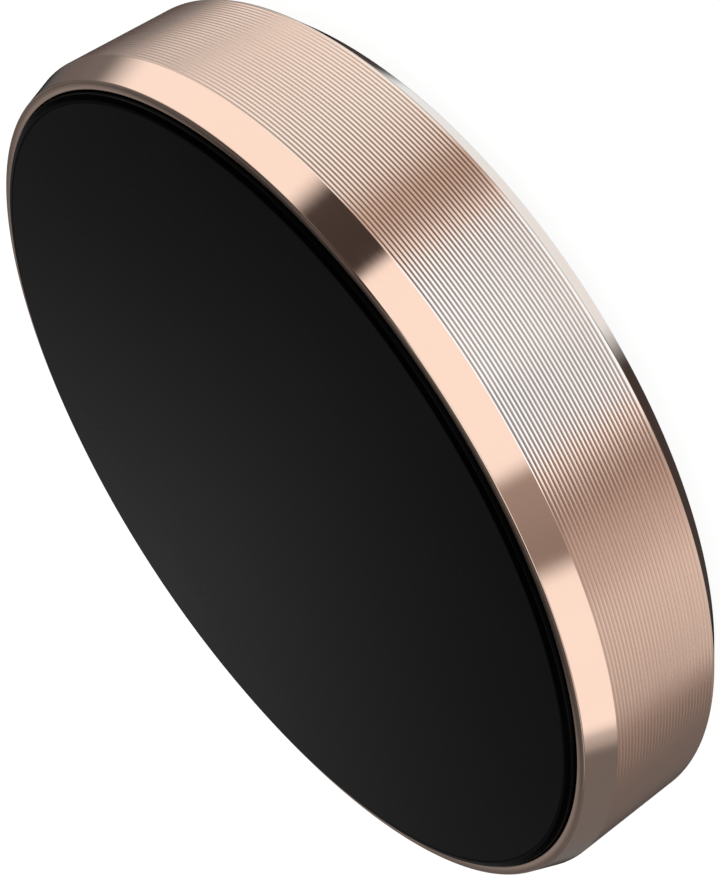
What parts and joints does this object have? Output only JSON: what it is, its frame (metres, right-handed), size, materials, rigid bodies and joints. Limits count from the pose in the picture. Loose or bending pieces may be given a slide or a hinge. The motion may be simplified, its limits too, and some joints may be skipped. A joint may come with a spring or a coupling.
{
  "type": "magnetic dashboard phone mount",
  "caption": "Flat round magnetic phone holder: a turned metal case with a grooved side, a black front pad, magnets inside and adhesive foam on its back.",
  "frame": {"origin": "centre of the adhesive foam's outer face, which is the bottom centre of the part's box", "axes": "+Z is the disc's axis, from the surface that it sticks to towards the phone; X and Y lie in the plane of the disc, and the first magnet's centre is on +X"},
  "size_m": [0.04, 0.04, 0.0082],
  "materials": {
    "case_aluminium": "rose-gold anodised, fine turned grooves on the side, polished chamfers and lip",
    "pad_black": "smooth satin black silicone",
    "adhesive_film": "clear double-sided film",
    "carrier_plastic": "moulded dark grey plastic",
    "magnet_nickel": "nickel plated",
    "yoke_steel": "zinc plated",
    "cover_plastic": "moulded matt black plastic",
    "foam_black": "closed-cell adhesive foam tape"
  },
  "bodies": {
    "root": {"case": "case_aluminium", "front_pad": "pad_black", "pad_adhesive": "adhesive_film", "magnet_carrier": "carrier_plastic", "magnet_1": "magnet_nickel", "magnet_2": "magnet_nickel", "magnet_3": "magnet_nickel", "magnet_4": "magnet_nickel", "magnet_5": "magnet_nickel", "magnet_6": "magnet_nickel", "yoke_plate": "yoke_steel", "back_cover": "cover_plastic", "adhesive_foam": "foam_black"}
  },
  "joints": []
}
